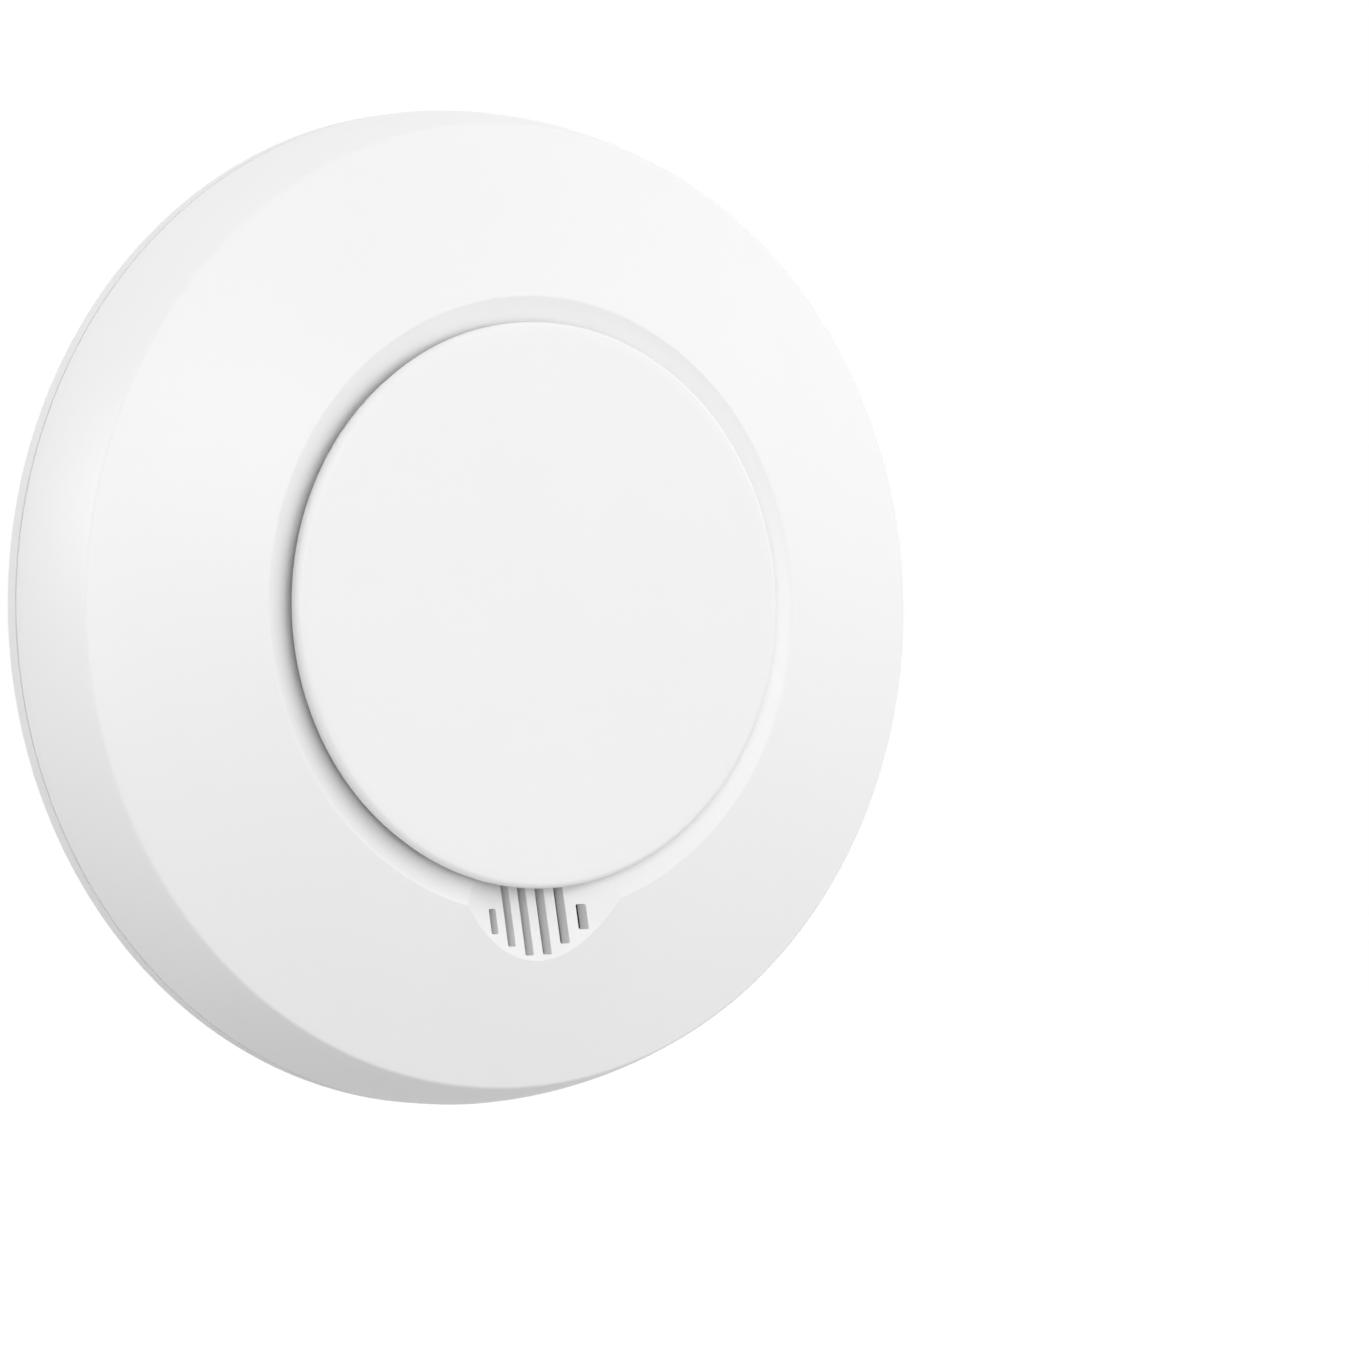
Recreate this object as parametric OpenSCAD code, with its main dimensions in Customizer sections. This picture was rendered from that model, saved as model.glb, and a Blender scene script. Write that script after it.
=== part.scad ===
// Round slim smoke alarm on a twist-lock wall bracket.
// Every piece is drawn face up on a bench: x to the right, y up the wall, z out of the wall.
// on_wall() then stands it up, so that the face looks along -Y and the bracket's back is at Y = 0.

/* [Body] */
// Diameter over the rim of the bracket and of the cover's lip
body_d = 120; // [112:0.5:130]
// Thickness of the bracket's ring and crossbar
bracket_t = 1.75; // [1.6:0.05:2]
// Gap between the bracket and the head, seen as the fine seam behind the lip
seam = 0.25; // [0.2:0.05:0.5]
// Height of the straight lip at the back of the cover
lip_h = 1.5; // [1.2:0.1:2]
// How far the side wall leans in from the lip to the crease
side_lean = 2.3; // [1.6:0.1:2.8]
// How far the side wall swells out from a straight taper
side_swell = 0.35; // [0.1:0.05:0.5]
// Rise of the conical face from the crease to the edge of the ring groove
face_rise = 6.2; // [5.8:0.1:7.5]
// Round of the crease between the side wall and the face
crease_round = 0.5; // [0.3:0.1:0.8]
// Wall thickness of the cover
shell_t = 1.8; // [1.5:0.1:2]

/* [Ring groove and test button] */
// Diameter of the floating test button
button_d = 67.4; // [65:0.1:70]
// Width of the ring groove, from the button to the edge where the face drops into it
groove_w = 3.15; // [2.5:0.05:4]
// Depth of the ring groove below that edge
groove_drop = 3.9; // [3.6:0.1:4.3]
// Drop of the sloped ring from that edge to below the button's edge
groove_slope_h = 1.65; // [1.4:0.05:2]
// How far the button's edge stands proud of the groove's edge
button_proud = 1.5; // [1.2:0.1:2]
// Rise of the button's crown from its edge to its middle
button_crown = 0.6; // [0.3:0.1:1]
// Round of the button's edge
button_round = 0.7; // [0.4:0.1:0.9]
// Height of the button's skirt, edge to lower rim
skirt_h = 2.4; // [2.2:0.1:2.6]
// Travel of the button, and of the switch under it
button_travel = 0.6; // [0.4:0.1:0.8]

/* [Sound grille] */
// Distance below the centre at which the scoop runs out into the face
scoop_reach = 42.4; // [40.5:0.1:46]
// Depth of the scoop's floor below the sloped ring, at the button's edge
scoop_sink = 0.25; // [0.1:0.05:0.4]
// Radius of the trough that is the scoop's floor
scoop_r = 31; // [27:0.5:36]
// Width of a sound slot
slot_w = 1.2; // [0.9:0.1:1.5]
// Pitch of the sound slots
slot_pitch = 2.5; // [2.2:0.05:2.8]

/* [Bracket] */
// Width of the bracket's ring
ring_w = 5.2; // [4.6:0.1:5.6]
// Width of the bracket's crossbar
bar_w = 16; // [13:0.5:18]
// Distance between the two wall screws
wall_screw_span = 60; // [54:0.5:62]
// Width of a wall screw's slot
wall_slot_w = 4.2; // [3.8:0.1:4.8]
// Length of a wall screw's slot, end to end
wall_slot_l = 8; // [7:0.1:9]
// Turn that frees the head from the bracket, in degrees
twist = 15; // [13:0.5:17]

/* [Battery bay] */
// Diameter of a battery cell
cell_d = 10.5; // [10:0.1:11]
// Length of a battery cell with its nub
cell_l = 44.5; // [42:0.1:47]
// Gap between the cells and the groove's floor above them, which sets the height of the side wall
cell_headroom = 0.6; // [0.3:0.1:2.5]
// Thickness of the battery door
door_t = 1.6; // [1.4:0.1:1.8]

/* [Hidden] */
$fn = 96;
eps = 0.01;
fuse = 0.4;
cut = 2;

// Clearances of a pin in its bore, of pieces that move past each other, and of fixed neighbours
run_fit = 0.05;
slide_gap = 0.3;
seat_gap = 0.2;

// Heights from the wall outwards: door, cells, ring groove over them, face and side wall
head_z = bracket_t + seam;
lip_z = head_z + lip_h;
door_z = head_z;
cell_z = door_z + door_t + slide_gap + seat_gap + cell_d / 2;
groove_under_z = cell_z + cell_d / 2 + cell_headroom;
groove_z = groove_under_z + shell_t;
groove_edge_z = groove_z + groove_drop;
crease_z = groove_edge_z - face_rise;
side_h = crease_z - lip_z;

// Radii of the cover
body_r = body_d / 2;
crease_r = body_r - side_lean;
button_r = button_d / 2;
groove_edge_r = button_r + groove_w;
groove_edge_round = 0.3;
groove_tuck = 1.5;
groove_foot_r = button_r - groove_tuck;
groove_back_r = groove_foot_r + shell_t;
groove_slope = groove_slope_h / groove_w;
groove_foot_z = groove_edge_z - groove_slope * (groove_edge_r - groove_foot_r);
face_slope = face_rise / (crease_r - groove_edge_r);
face_drop = shell_t * sqrt(1 + face_slope * face_slope);

// Floor and rim of the rear housing, inside the cover's lip
floor_t = 1.8;
floor_z = head_z + floor_t;
rim_h = 1.2;
rim_t = 1.2;
rim_z = floor_z + rim_h;
floor_r = body_r - shell_t - slide_gap - side_lean * (rim_z - lip_z) / side_h;

// Pockets over the wall screws' heads
wall_head_r = 3.75;
wall_head_h = 3;
pocket_wall = 1.2;
pocket_roof = 0.9;
pocket_half_w = wall_head_r + (wall_slot_l - wall_slot_w) / 2 + slide_gap;
pocket_r = [wall_screw_span / 2 - pocket_half_w, wall_screw_span / 2 + pocket_half_w];
pocket_swing = asin((wall_head_r + 2 * slide_gap) / pocket_r[0]);
pocket_skin = asin(pocket_wall / pocket_r[0]);
pocket_z = bracket_t + wall_head_h + seat_gap;
pocket_top = pocket_z + pocket_roof;

// Circuit board, on stands above the pockets
board_z = pocket_top + slide_gap;
board_t = 1.2;
deck_z = board_z + board_t;
board_inset = 8;
board_r = body_r - board_inset;

// Battery bay, its outer corners just inside the cover's wall
bay_wall = 1.2;
bay_inset = 6.1;
contact_space = 2.9;
cell_gap = 0.45;
bay_half_l = cell_l / 2 + contact_space;
bay_out_y = sqrt(pow(body_r - bay_inset, 2) - pow(bay_half_l, 2));
cell_ys = [bay_out_y - cell_gap - cell_d * 3 / 2 - seat_gap, bay_out_y - cell_gap - cell_d / 2];
bay_in_y = cell_ys[0] - cell_d / 2 - cell_gap;
bay_wall_z = cell_z - seat_gap;
board_edge_gap = 0.5;
board_cut_y = bay_in_y - bay_wall - board_edge_gap;

// Battery door and its hinge
door_end_gap = 1.15;
door_half_w = bay_half_l - door_end_gap;
door_open_half_w = door_half_w + slide_gap;
door_out_y = bay_out_y - slide_gap;
hinge_r = 1.1;
hinge_proud = 0.1;
hinge_inset = 0.8;
hinge_y = bay_in_y + hinge_inset;
hinge_z = door_z + hinge_r - hinge_proud;
hinge_boss_r = 2.1;
pin_r = 0.8;
pin_l = 2;
nail_w = 12;
nail_d = 2.6;
nail_roof = 0.6;
grip_count = 4;
grip_pitch = 1.6;
grip_w = 0.8;
grip_depth = 0.5;

// Battery cells, contacts and leads
nub_r = 1.9;
nub_l = 1;
contact_t = 0.4;
contact_bump = 0.4;
contact_w = 9;
contact_rise = 3.4;
contact_z = [hinge_z + hinge_boss_r + seat_gap, cell_z + contact_rise];
cell_end = bay_half_l - contact_t - contact_bump;
cell_spring_wire = 0.6;
cell_spring_r = [3, 2];
cell_spring_turns = 3.5;
cell_spring_l = bay_half_l + cell_end - contact_t - cell_l;
lead_w = 1.2;
lead_z = contact_z[1] + seat_gap;
lead_notch_w = 2;

// Smoke chamber, as large as the groove's floor and the battery bay leave room for
guide_floor_w = 8.7;
smoke_gap = 2.6;
chamber_gap = 1.9;
flange_r = min(button_r - guide_floor_w - smoke_gap, bay_in_y - bay_wall - chamber_gap);
flange_w = 0.9;
flange_t = 0.8;
mouth_r = flange_r + smoke_gap;
chamber_r = flange_r - flange_w;
chamber_floor_t = 1.6;
chamber_lid_t = 1.5;
chamber_headroom = 1.4;
mesh_t = 0.3;
window_count = 36;
window_w = 2.6;
hoop_h = 1.2;
vane_count = 24;
vane_l = 4.2;
vane_t = 0.8;
vane_turn = 48;
vane_r = chamber_r - vane_l / 2 + seat_gap;
optics_h = 4.4;
optics_z = deck_z + optics_h;
optics_inset = 9.1;
optics_r = chamber_r - optics_inset;
optics_bore_r = 1.6;
emitter_angle = 205;
receiver_angle = 335;
lamp_r = optics_bore_r - run_fit;
lamp_l = 5;

// Test button
button_edge_z = groove_edge_z + button_proud;
button_top_z = button_edge_z + button_crown;
button_plate = 1.2;
button_under_z = button_edge_z - button_plate;
chamber_top_z = button_under_z - button_travel - chamber_headroom;
skirt_z = button_edge_z - skirt_h;
skirt_t = 0.9;
skirt_taper = 0.45;
button_edge_h = 1;
guide_inset = 4.7;
guide_r = button_r - guide_inset;
guide_angles = [20, 160, 200, 340];
post_r = 1.5;
sleeve_t = 1;
sleeve_l = 2.5;
sleeve_z = groove_under_z - sleeve_l;
barb_w = 0.35;
barb_h = 1.4;
post_taper = 0.4;
post_split = 0.8;
rod_hole_r = post_r + slide_gap;
spring_wire = 0.4;
spring_turns = 3;
spring_r = post_r + slide_gap + spring_wire / 2;

// Switch under the button's rod
switch_w = 6;
switch_h = 3.5;
plunger_r = 1.7;
plunger_l = 3;
plunger_proud = 1.3;
plunger_top_z = deck_z + switch_h + plunger_proud;

// Sound grille, its slots counted from the middle pair outwards
scoop_low_z = groove_edge_z - groove_slope_h - scoop_sink;
scoop_z = groove_edge_z - face_slope * (scoop_reach - groove_edge_r);
scoop_tilt = atan((scoop_z - scoop_low_z) / (scoop_reach - button_r));
pan_half_w = sqrt(2 * scoop_r * (groove_edge_z - scoop_low_z)) + shell_t;
collar_h = 0.6;
collar_z = groove_under_z - collar_h;
slot_inset = 0.4;
slot_margins = [0.7, 1.9, 3.5];
slot_short_l = 3;
slot_start = groove_foot_r + slot_inset;
slot_starts = [slot_start, slot_start, scoop_reach - slot_margins[2] - slot_short_l];

// Siren, between the chamber and the cover's wall and under the scoop's pan
siren_gap = 2.1;
siren_inset = 8.5;
siren_span = [flange_r + siren_gap, body_r - siren_inset];
siren_r = (siren_span[1] - siren_span[0]) / 2;
siren_y = -(siren_span[0] + siren_span[1]) / 2;
siren_wall = 1.2;
siren_ledge = 1.2;
siren_seat_h = 1.8;
siren_cap_t = 1;
siren_mouth_r = 4.5;
gasket_t = 0.7;
gasket_w = 3.6;
siren_cap_z = collar_z - slide_gap - gasket_t - siren_cap_t;
piezo_t = 0.3;
ceramic_r = 8.5;
ceramic_t = 0.25;

// Bracket hooks and the keyhole slots that they turn in
ring_in_r = body_r - ring_w;
hook_angles = [18, 162, 270];
hook_half = 3.5;
hook_inset = 3.3;
hook_post_t = 1.6;
hook_head_t = 2;
hook_r = [ring_in_r - hook_inset - hook_post_t - hook_head_t, ring_in_r - hook_inset - hook_post_t,
    ring_in_r - hook_inset];
hook_z = floor_z + seat_gap;
hook_h = 1.2;
hook_pad_half = 6;
hook_play = 1.2;

// Screws that join the rear housing to the cover, beside the bay's corners
joint_inset = 10;
joint_gap = 2.5;
joint_boss_r = 3.2;
joint_head_r = 2.7;
joint_head_h = 1.7;
joint_head_sink = 2;
joint_shank_r = 1.25;
joint_shank_l = 8;
joint_screw_r = body_r - joint_inset;
joint_angle = acos((bay_half_l + bay_wall + joint_boss_r + joint_gap) / joint_screw_r);
joint_angles = [joint_angle, 180 - joint_angle, 180 + joint_angle, -joint_angle];

// Screws that hold the circuit board
board_screw_inset = 9.7;
board_screw_r = board_r - board_screw_inset;
board_screw_angles = [19, 161, 213, 327];
stand_r = 2.6;
board_head_r = 2.3;
board_head_h = 1.4;
board_shank_r = 1;
pilot_floor = 0.9;

// Cross recess of every screw
drive_reach = 1.5;
drive_w = 0.6;
drive_depth = 0.9;

// Pieces on the circuit board, placed inwards from its edge
pipe_r = 1.5;
pipe_collar = 0.6;
pipe_proud = 1.2;
led_w = 3;
led_h = 1.2;
radio_inset = 11;
radio_at = [radio_inset - board_r, -3];
radio_size = [11, 17, 1];
shield_size = [9, 10, 2];
antenna_inset = 8;
antenna_at = [board_r - antenna_inset, -4];
antenna_l = 16;
antenna_r = 2.4;
antenna_wire = 0.8;
antenna_turns = 9;
chip_inset = 19.5;
chip_r = board_r - chip_inset;
chip_angle = 225;
chip_size = [7, 7, 1];
cap_inset = 12.4;
cap_at_r = board_r - cap_inset;
cap_angles = [302, 315];
cap_r = 3.15;
cap_h = 5.5;
choke_inset = 17.3;
choke_at_r = board_r - choke_inset;
choke_angle = 333;
choke_r = 3.6;
choke_h = 3.6;

// Stands the bench frame up against the wall
module on_wall() rotate([90, 0, 0]) children();

// Places children at an angle round the alarm's axis
module at_polar(r, a) translate([r * cos(a), r * sin(a), 0]) children();

// Straight round bar or disc between two heights
module drum(r, z0, z1) translate([0, 0, z0]) cylinder(r = r, h = z1 - z0);

// Sector of a flat ring between two radii, two angles and two heights
module sector(r0, r1, a0, a1, z0, z1)
    rotate([0, 0, a0]) translate([0, 0, z0])
        rotate_extrude(angle = a1 - a0) translate([r0, 0]) square([r1 - r0, z1 - z0]);

// Block between two corners
module block(p, q) translate(p) cube(q - p);

// Bar of radius r along x, from x0 to x1
module rod(r, x0, x1) translate([x0, 0, 0]) rotate([0, 90, 0]) cylinder(r = r, h = x1 - x0);

// Box that stands on the circuit board, centred on its place
module on_board(size) translate([0, 0, deck_z + size[2] / 2]) cube(size, center = true);

// Point where two lines in the plane cross
function crossing(p, u, q, w) =
    p + u * (((q[0] - p[0]) * w[1] - (q[1] - p[1]) * w[0]) / (u[0] * w[1] - u[1] * w[0]));

// Points of a round of radius r at corner q, on the way from p to s
function round_at(p, q, s, r, steps = 5) =
    let (u = (p - q) / norm(p - q), w = (s - q) / norm(s - q), half = acos(u * w) / 2,
         mid = q + (u + w) / norm(u + w) * r / sin(half), turn = 2 * (90 - half),
         from = q + u * r / tan(half) - mid, to = q + w * r / tan(half) - mid)
    [for (i = [0 : steps])
        mid + (from * sin(turn * (1 - i / steps)) + to * sin(turn * i / steps)) / sin(turn)];

// Wire wound from radius r0 to r1 about z, from height 0 to l between wire centres
module coil(r0, r1, wire, l, turns) {
    rings = ceil(turns * 10);
    sides = 6;
    function at(i, k) =
        let (t = i / rings, a = 360 * turns * t, b = 360 * k / sides,
             r = r0 + (r1 - r0) * t + wire / 2 * cos(b))
        [r * cos(a), r * sin(a), l * t + wire / 2 * sin(b)];
    points = [for (i = [0 : rings], k = [0 : sides - 1]) at(i, k)];
    walls = [for (i = [0 : rings - 1], k = [0 : sides - 1])
        let (a = i * sides + k, b = i * sides + (k + 1) % sides)
        each [[a, b, b + sides], [a, b + sides, a + sides]]];
    ends = [for (k = [1 : sides - 2])
        each [[0, k + 1, k], [rings * sides, rings * sides + k, rings * sides + k + 1]]];
    polyhedron(points, concat(walls, ends));
}

// Outline of the cover's outside, from the mouth in the groove's floor out to the rim
function cover_outside(steps = 12) =
    let (foot = [groove_foot_r, groove_foot_z], edge = [groove_edge_r, groove_edge_z],
         crease = [crease_r, crease_z], lip = [body_r, lip_z],
         side = [for (i = [1 : steps])
             let (t = i / steps)
             crease + (lip - crease) * t + [side_swell * 4 * t * (1 - t), 0]])
    concat(
        [[mouth_r, groove_z], [groove_foot_r, groove_z], foot],
        round_at(foot, edge, crease, groove_edge_round),
        round_at(edge, crease, side[0], crease_round),
        side,
        [[body_r, head_z]]);

// Outline of the cover's inside, from the rim back to the mouth
function cover_inside() =
    let (face_u = [groove_edge_r - crease_r, face_rise], face_p = [crease_r, crease_z - face_drop],
         slope_u = [1, groove_slope],
         slope_p = [groove_foot_r, groove_foot_z - shell_t * norm(slope_u)])
    [[body_r - shell_t, head_z], [body_r - shell_t, lip_z],
     crossing([body_r - shell_t, lip_z], [-side_lean, side_h], face_p, face_u),
     crossing(slope_p, slope_u, face_p, face_u),
     crossing(slope_p, slope_u, [groove_back_r, groove_under_z], [0, 1]),
     [groove_back_r, groove_under_z], [mouth_r, groove_under_z]];

// Everything that lies under the cover's outside, for trimming what hangs from it
module under_cover()
    rotate_extrude() polygon(concat([[0, 0], [0, groove_z]], cover_outside(), [[body_r, 0]]));

// The round bar that scoops the sound grille out of the face as a trough, grown by t
module scoop(t)
    translate([0, -scoop_reach, scoop_z]) rotate([-90 - scoop_tilt, 0, 0])
        translate([0, -scoop_r, -cut]) cylinder(r = scoop_r + t, h = scoop_reach - mouth_r);

// Rim, tapered wall, conical face, ring groove and grille, moulded in one
module front_cover() color("white") on_wall() difference() {
    union() {
        rotate_extrude() polygon(concat(cover_outside(), cover_inside()));
        intersection() {
            under_cover();
            scoop(shell_t);
            block([-pan_half_w, -scoop_reach - shell_t, 0],
                [pan_half_w, -groove_foot_r, groove_edge_z]);
        }
        intersection() {
            under_cover();
            translate([0, siren_y, 0]) difference() {
                drum(siren_r - siren_wall, collar_z, groove_edge_z);
                drum(siren_r - siren_wall - shell_t, 0, button_top_z);
            }
        }
        intersection() {
            under_cover();
            for (a = joint_angles) at_polar(joint_screw_r, a)
                drum(joint_boss_r, board_z, crease_z + fuse);
        }
        for (a = guide_angles) at_polar(guide_r, a)
            drum(post_r + sleeve_t, sleeve_z, groove_z - fuse);
    }
    scoop(0);
    for (i = [0 : len(slot_margins) - 1], s = [-1, 1])
        translate([s * slot_pitch * (i + 0.5), 0, 0])
            block([-slot_w / 2, slot_margins[i] - scoop_reach, deck_z],
                [slot_w / 2, -slot_starts[i], button_top_z]);
    for (a = guide_angles) at_polar(guide_r, a) drum(post_r + run_fit, sleeve_z - cut, button_top_z);
    at_polar(guide_r, 0) drum(rod_hole_r, sleeve_z, button_top_z);
    at_polar(guide_r, 180) drum(pipe_r + run_fit, sleeve_z, button_top_z);
    for (a = joint_angles) at_polar(joint_screw_r, a)
        drum(joint_shank_r + run_fit, board_z - cut, board_z + joint_shank_l);
}

// Floating round button with a skirt, four guide posts and the rod over the switch
module test_button() color("whitesmoke") on_wall() {
    crown_r = button_r - 2 * button_round;
    side = [button_r, button_edge_z - button_edge_h];
    foot_r = button_r - skirt_taper;
    steps = 10;
    crown = [for (i = [0 : steps])
        let (r = crown_r * i / steps)
        [r, button_edge_z + button_crown * (1 - pow(r / button_r, 2))]];
    difference() {
        union() {
            rotate_extrude() polygon(concat(
                crown,
                round_at(crown[steps], [button_r, button_edge_z], side, button_round),
                [side, [foot_r, skirt_z], [foot_r - skirt_t, skirt_z], [foot_r - skirt_t, button_under_z],
                 [0, button_under_z]]));
            for (a = guide_angles) at_polar(guide_r, a) {
                drum(post_r, sleeve_z - barb_h, button_under_z + fuse);
                translate([0, 0, sleeve_z - run_fit - barb_h])
                    cylinder(r1 = post_r - post_taper, r2 = post_r + barb_w, h = barb_h);
            }
            at_polar(guide_r, 0) drum(post_r, plunger_top_z, button_under_z + fuse);
        }
        for (a = guide_angles) at_polar(guide_r, a)
            block([-post_split / 2, -post_r * 2, sleeve_z - barb_h - cut],
                [post_split / 2, post_r * 2, sleeve_z + post_r]);
    }
}

// Four small coil springs round the guide posts, under the button
module button_springs() color("silver") on_wall()
    for (a = guide_angles) at_polar(guide_r, a)
        translate([0, 0, groove_z + spring_wire / 2])
            coil(spring_r, spring_r, spring_wire, button_under_z - groove_z - spring_wire, spring_turns);

// Ring and crossbar that screw to the wall, with three bayonet hooks
module mounting_bracket() color("gainsboro") on_wall() difference() {
    union() {
        difference() {
            drum(body_r, 0, bracket_t);
            drum(ring_in_r, -cut, bracket_t + cut);
        }
        block([-ring_in_r - fuse, -bar_w / 2, 0], [ring_in_r + fuse, bar_w / 2, bracket_t]);
        for (a = hook_angles) {
            sector(hook_r[0], ring_in_r + fuse, a - hook_pad_half, a + hook_pad_half, 0, bracket_t);
            sector(hook_r[1], hook_r[2], a - hook_half, a + hook_half, bracket_t - fuse, hook_z + hook_h);
            sector(hook_r[0], hook_r[1] + fuse, a - hook_half, a + hook_half, hook_z, hook_z + hook_h);
        }
    }
    for (s = [-1, 1]) translate([s * wall_screw_span / 2, 0, 0]) {
        for (e = [-1, 1]) translate([e * (wall_slot_l - wall_slot_w) / 2, 0, 0])
            drum(wall_slot_w / 2, -cut, bracket_t + cut);
        block([-(wall_slot_l - wall_slot_w) / 2, -wall_slot_w / 2, -cut],
            [(wall_slot_l - wall_slot_w) / 2, wall_slot_w / 2, bracket_t + cut]);
    }
}

// Walls round the two cells, with a notch at each end for the contacts' leads
module bay_walls() difference() {
    block([-bay_half_l - bay_wall, bay_in_y - bay_wall, head_z],
        [bay_half_l + bay_wall, bay_out_y + bay_wall, bay_wall_z]);
    block([-bay_half_l, bay_in_y, floor_z], [bay_half_l, bay_out_y, bay_wall_z + cut]);
    for (s = [-1, 1]) translate([s * (bay_half_l - lead_notch_w / 2), bay_in_y, 0])
        block([-lead_notch_w / 2, -bay_wall - cut, deck_z - seat_gap],
            [lead_notch_w / 2, cut, bay_wall_z + cut]);
}

// Rear housing: floor with keyhole slots, screw pockets, battery bay walls, stands and bosses
module rear_housing() color("white") on_wall() difference() {
    union() {
        drum(floor_r, head_z, floor_z);
        difference() {
            drum(floor_r, head_z, rim_z);
            drum(floor_r - rim_t, -cut, rim_z + cut);
        }
        for (a = [0, 180])
            sector(pocket_r[0] - pocket_wall, pocket_r[1] + pocket_wall,
                a - twist - pocket_swing - pocket_skin, a + pocket_swing + pocket_skin,
                floor_z - fuse, pocket_top);
        intersection() {
            drum(floor_r - rim_t + fuse, head_z, bay_wall_z);
            bay_walls();
        }
        for (s = [-1, 1]) intersection() {
            translate([s * door_open_half_w, hinge_y, hinge_z]) rotate([0, s * 90, 0])
                cylinder(r = hinge_boss_r, h = pin_l + seat_gap);
            block([-body_r, 0, head_z], [body_r, body_r, crease_z]);
        }
        for (a = board_screw_angles) at_polar(board_screw_r, a) drum(stand_r, floor_z - fuse, board_z);
        for (a = joint_angles) at_polar(joint_screw_r, a) drum(joint_boss_r, floor_z - fuse, board_z);
    }
    block([-door_open_half_w, hinge_y - hinge_r - slide_gap, -cut],
        [door_open_half_w, bay_out_y, floor_z + eps]);
    block([-nail_w / 2, bay_out_y - cut, -cut], [nail_w / 2, bay_out_y + nail_d, floor_z - nail_roof]);
    for (s = [-1, 1]) translate([s * door_open_half_w, hinge_y, hinge_z]) rotate([0, s * 90, 0])
        translate([0, 0, -cut]) cylinder(r = pin_r + run_fit, h = cut + pin_l - slide_gap / 2);
    for (a = hook_angles) {
        sector(hook_r[1] - slide_gap, hook_r[2] + slide_gap,
            a - twist - hook_half - hook_play, a + hook_half + hook_play, -cut, floor_z + eps);
        sector(hook_r[0] - slide_gap, hook_r[1],
            a - twist - hook_half - hook_play, a - twist + hook_half + hook_play, -cut, floor_z + eps);
    }
    for (a = [0, 180])
        sector(pocket_r[0], pocket_r[1], a - twist - pocket_swing, a + pocket_swing, -cut, pocket_z);
    for (a = joint_angles) at_polar(joint_screw_r, a) {
        drum(joint_head_r + slide_gap, -cut, head_z + joint_head_sink);
        drum(joint_shank_r + slide_gap, -cut, board_z + cut);
    }
    for (a = board_screw_angles) at_polar(board_screw_r, a)
        drum(board_shank_r + run_fit, head_z + pilot_floor, board_z + cut);
}

// Battery door, hinged on moulded pins at the bay's inner edge, with finger grooves at the other
module battery_door() color("white") on_wall() difference() {
    union() {
        block([-door_half_w, hinge_y, door_z], [door_half_w, door_out_y, door_z + door_t]);
        translate([0, hinge_y, hinge_z]) {
            rod(hinge_r, -door_half_w, door_half_w);
            rod(pin_r, -door_half_w - pin_l, door_half_w + pin_l);
        }
    }
    for (i = [1 : grip_count]) translate([0, door_out_y - i * grip_pitch, 0])
        block([-nail_w / 2, -grip_w, -cut], [nail_w / 2, 0, door_z + grip_depth]);
}

// One cell with its nub towards +x when s is 1
module cell(s) mirror([s < 0 ? 1 : 0, 0, 0]) translate([0, 0, cell_z]) {
    rod(nub_r, cell_end - nub_l - fuse, cell_end);
    rod(cell_d / 2, cell_end - cell_l, cell_end - nub_l);
}

module battery_cell_inner() color("dimgray") on_wall() translate([0, cell_ys[0], 0]) cell(1);

module battery_cell_outer() color("gray") on_wall() translate([0, cell_ys[1], 0]) cell(-1);

// Flat strip of contact metal against the end s of the bay
module strip(s, y0, y1, z0, z1)
    translate([s * (bay_half_l - contact_t / 2), 0, 0])
        block([-contact_t / 2, y0, z0], [contact_t / 2, y1, z1]);

// Raised dimple that a nub presses on
module dimple(s, y)
    translate([s * cell_end, y, cell_z]) rotate([0, s * 90, 0])
        cylinder(r = nub_r, h = contact_bump + contact_t / 2);

module battery_bridge() color("lightsteelblue") on_wall() {
    strip(1, cell_ys[0] - contact_w / 2, cell_ys[1] + contact_w / 2, contact_z[0], contact_z[1]);
    dimple(1, cell_ys[0]);
}

// Contact of the outer cell, with a lead that passes over the inner one down to the board
module battery_positive() color("lightsteelblue") on_wall() {
    foot_y = board_cut_y - 3 * lead_w;
    strip(-1, cell_ys[1] - contact_w / 2, cell_ys[1] + contact_w / 2, contact_z[0], contact_z[1]);
    dimple(-1, cell_ys[1]);
    strip(-1, cell_ys[1] - lead_w, cell_ys[1], contact_z[1] - fuse, lead_z + lead_w);
    strip(-1, foot_y, cell_ys[1] - lead_w + fuse, lead_z, lead_z + lead_w);
    strip(-1, foot_y, foot_y + lead_w, deck_z, lead_z + fuse);
}

module battery_negative() color("lightsteelblue") on_wall() {
    strip(-1, cell_ys[0] - contact_w / 2, cell_ys[0] + contact_w / 2, contact_z[0], contact_z[1]);
    strip(-1, board_cut_y - lead_w, cell_ys[0], deck_z, deck_z + lead_w);
}

// Two tapered coil springs at the cells' negative ends
module battery_springs() color("silver") on_wall()
    for (s = [-1, 1])
        translate([s * (bay_half_l - contact_t - cell_spring_wire / 2), cell_ys[s < 0 ? 0 : 1], cell_z])
            rotate([0, -s * 90, 0])
                coil(cell_spring_r[0], cell_spring_r[1], cell_spring_wire,
                    cell_spring_l - cell_spring_wire, cell_spring_turns);

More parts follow.
